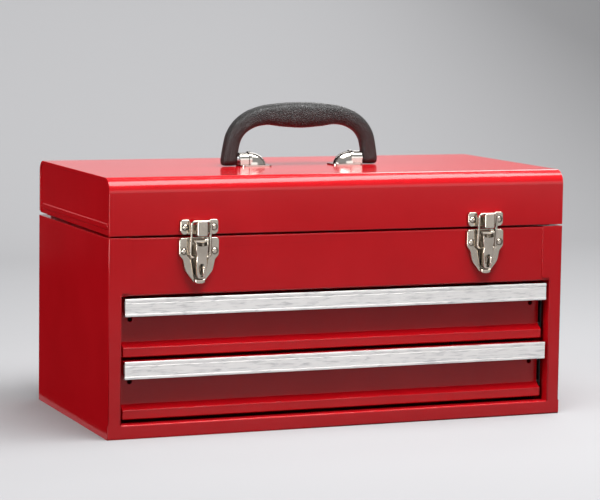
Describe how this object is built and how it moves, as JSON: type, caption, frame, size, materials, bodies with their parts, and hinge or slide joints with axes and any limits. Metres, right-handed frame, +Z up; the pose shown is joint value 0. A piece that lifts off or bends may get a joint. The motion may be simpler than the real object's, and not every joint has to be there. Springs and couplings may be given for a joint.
{
  "type": "drawer tool case",
  "caption": "Portable sheet steel tool case: hinged lid over a top tray, full-width drawers on ball slides, draw latches and a folding carry handle.",
  "frame": {"origin": "middle of the case's underside, on the surface that it stands on", "axes": "+Z up, -Y towards the drawers' front, +X to the right seen from the front, along the case's length"},
  "size_m": [0.443, 0.2351, 0.288],
  "materials": {
    "red_paint": "gloss red enamel on steel sheet",
    "aluminium_pull": "brushed, clear anodised",
    "nickel_plate": "satin nickel plate on stamped steel",
    "chrome_plate": "bright plated",
    "zinc_steel": "zinc plated slide steel",
    "ball_steel": "polished bearing steel",
    "black_grip": "moulded with a fine leather grain"
  },
  "bodies": {
    "case": {"body_shell": "red_paint", "bottom_pan": "red_paint", "front_apron": "red_paint", "till_floor": "red_paint", "case_slide_rivets": "zinc_steel", "hinge_leaf_case": "zinc_steel", "hinge_pin": "zinc_steel", "base_rivets": "nickel_plate", "slide_post_front_left": "red_paint", "slide_post_front_right": "red_paint", "slide_post_rear_left": "red_paint", "slide_post_rear_right": "red_paint", "case_slide_upper_left": "zinc_steel", "case_slide_upper_right": "zinc_steel", "case_slide_lower_left": "zinc_steel", "case_slide_lower_right": "zinc_steel", "latch_base_left": "nickel_plate", "latch_base_right": "nickel_plate", "latch_pin_left": "nickel_plate", "latch_pin_right": "nickel_plate", "padlock_staple_left": "nickel_plate", "padlock_staple_right": "nickel_plate"},
    "lid": {"lid_shell": "red_paint", "lid_end_left": "red_paint", "lid_end_right": "red_paint", "hinge_leaf_lid": "zinc_steel", "strike_rivets": "nickel_plate", "handle_screws": "zinc_steel", "latch_strike_left": "nickel_plate", "latch_strike_right": "nickel_plate", "handle_bracket_left": "chrome_plate", "handle_bracket_right": "chrome_plate"},
    "handle": {"handle_grip": "black_grip", "handle_pin_left": "zinc_steel", "handle_pin_right": "zinc_steel"},
    "lever_left": {"latch_lever_left": "nickel_plate"},
    "link_left": {"latch_link_left": "nickel_plate"},
    "lever_right": {"latch_lever_right": "nickel_plate"},
    "link_right": {"latch_link_right": "nickel_plate"},
    "drawer_upper": {"drawer_box_upper": "red_paint", "drawer_front_upper": "red_paint", "drawer_pull_upper": "aluminium_pull", "drawer_rivets_upper": "zinc_steel", "drawer_slide_upper_left": "zinc_steel", "drawer_slide_upper_right": "zinc_steel"},
    "cages_upper": {"ball_cage_upper_left": "zinc_steel", "ball_cage_upper_right": "zinc_steel", "slide_balls_upper_left": "ball_steel", "slide_balls_upper_right": "ball_steel"},
    "drawer_lower": {"drawer_box_lower": "red_paint", "drawer_front_lower": "red_paint", "drawer_pull_lower": "aluminium_pull", "drawer_rivets_lower": "zinc_steel", "drawer_slide_lower_left": "zinc_steel", "drawer_slide_lower_right": "zinc_steel"},
    "cages_lower": {"ball_cage_lower_left": "zinc_steel", "ball_cage_lower_right": "zinc_steel", "slide_balls_lower_left": "ball_steel", "slide_balls_lower_right": "ball_steel"}
  },
  "joints": [
    {"name": "lid_hinge", "type": "hinge", "parent": "case", "child": "lid", "pos_m": [0, 0.1075, 0.179], "axis": [-1, 0, 0], "range_deg": [0, 100]},
    {"name": "handle_swing", "type": "hinge", "parent": "lid", "child": "handle", "pos_m": [0, 0, 0.2353], "axis": [1, 0, 0], "range_deg": [-80, 80]},
    {"name": "lever_left_lift", "type": "hinge", "parent": "case", "child": "lever_left", "pos_m": [-0.1395, -0.1164, 0.1734], "axis": [-1, 0, 0], "range_deg": [0, 90]},
    {"name": "link_left_turn", "type": "hinge", "parent": "lever_left", "child": "link_left", "pos_m": [-0.1395, -0.1146, 0.1592], "axis": [1, 0, 0], "range_deg": [0, 59]},
    {"name": "lever_right_lift", "type": "hinge", "parent": "case", "child": "lever_right", "pos_m": [0.1395, -0.1164, 0.1734], "axis": [-1, 0, 0], "range_deg": [0, 90]},
    {"name": "link_right_turn", "type": "hinge", "parent": "lever_right", "child": "link_right", "pos_m": [0.1395, -0.1146, 0.1592], "axis": [1, 0, 0], "range_deg": [0, 59]},
    {"name": "drawer_upper_slide", "type": "slide", "parent": "case", "child": "drawer_upper", "axis": [0, -1, 0], "range_m": [0, 0.13]},
    {"name": "cages_upper_roll", "type": "slide", "parent": "case", "child": "cages_upper", "axis": [0, -1, 0], "range_m": [0, 0.0655]},
    {"name": "drawer_lower_slide", "type": "slide", "parent": "case", "child": "drawer_lower", "axis": [0, -1, 0], "range_m": [0, 0.13]},
    {"name": "cages_lower_roll", "type": "slide", "parent": "case", "child": "cages_lower", "axis": [0, -1, 0], "range_m": [0, 0.0655]}
  ],
  "couplings": [
    {"joint": "link_left_turn", "follows": "lever_left_lift", "ratio": 0.65},
    {"joint": "link_right_turn", "follows": "lever_right_lift", "ratio": 0.65},
    {"joint": "cages_upper_roll", "follows": "drawer_upper_slide", "ratio": 0.5},
    {"joint": "cages_lower_roll", "follows": "drawer_lower_slide", "ratio": 0.5}
  ]
}
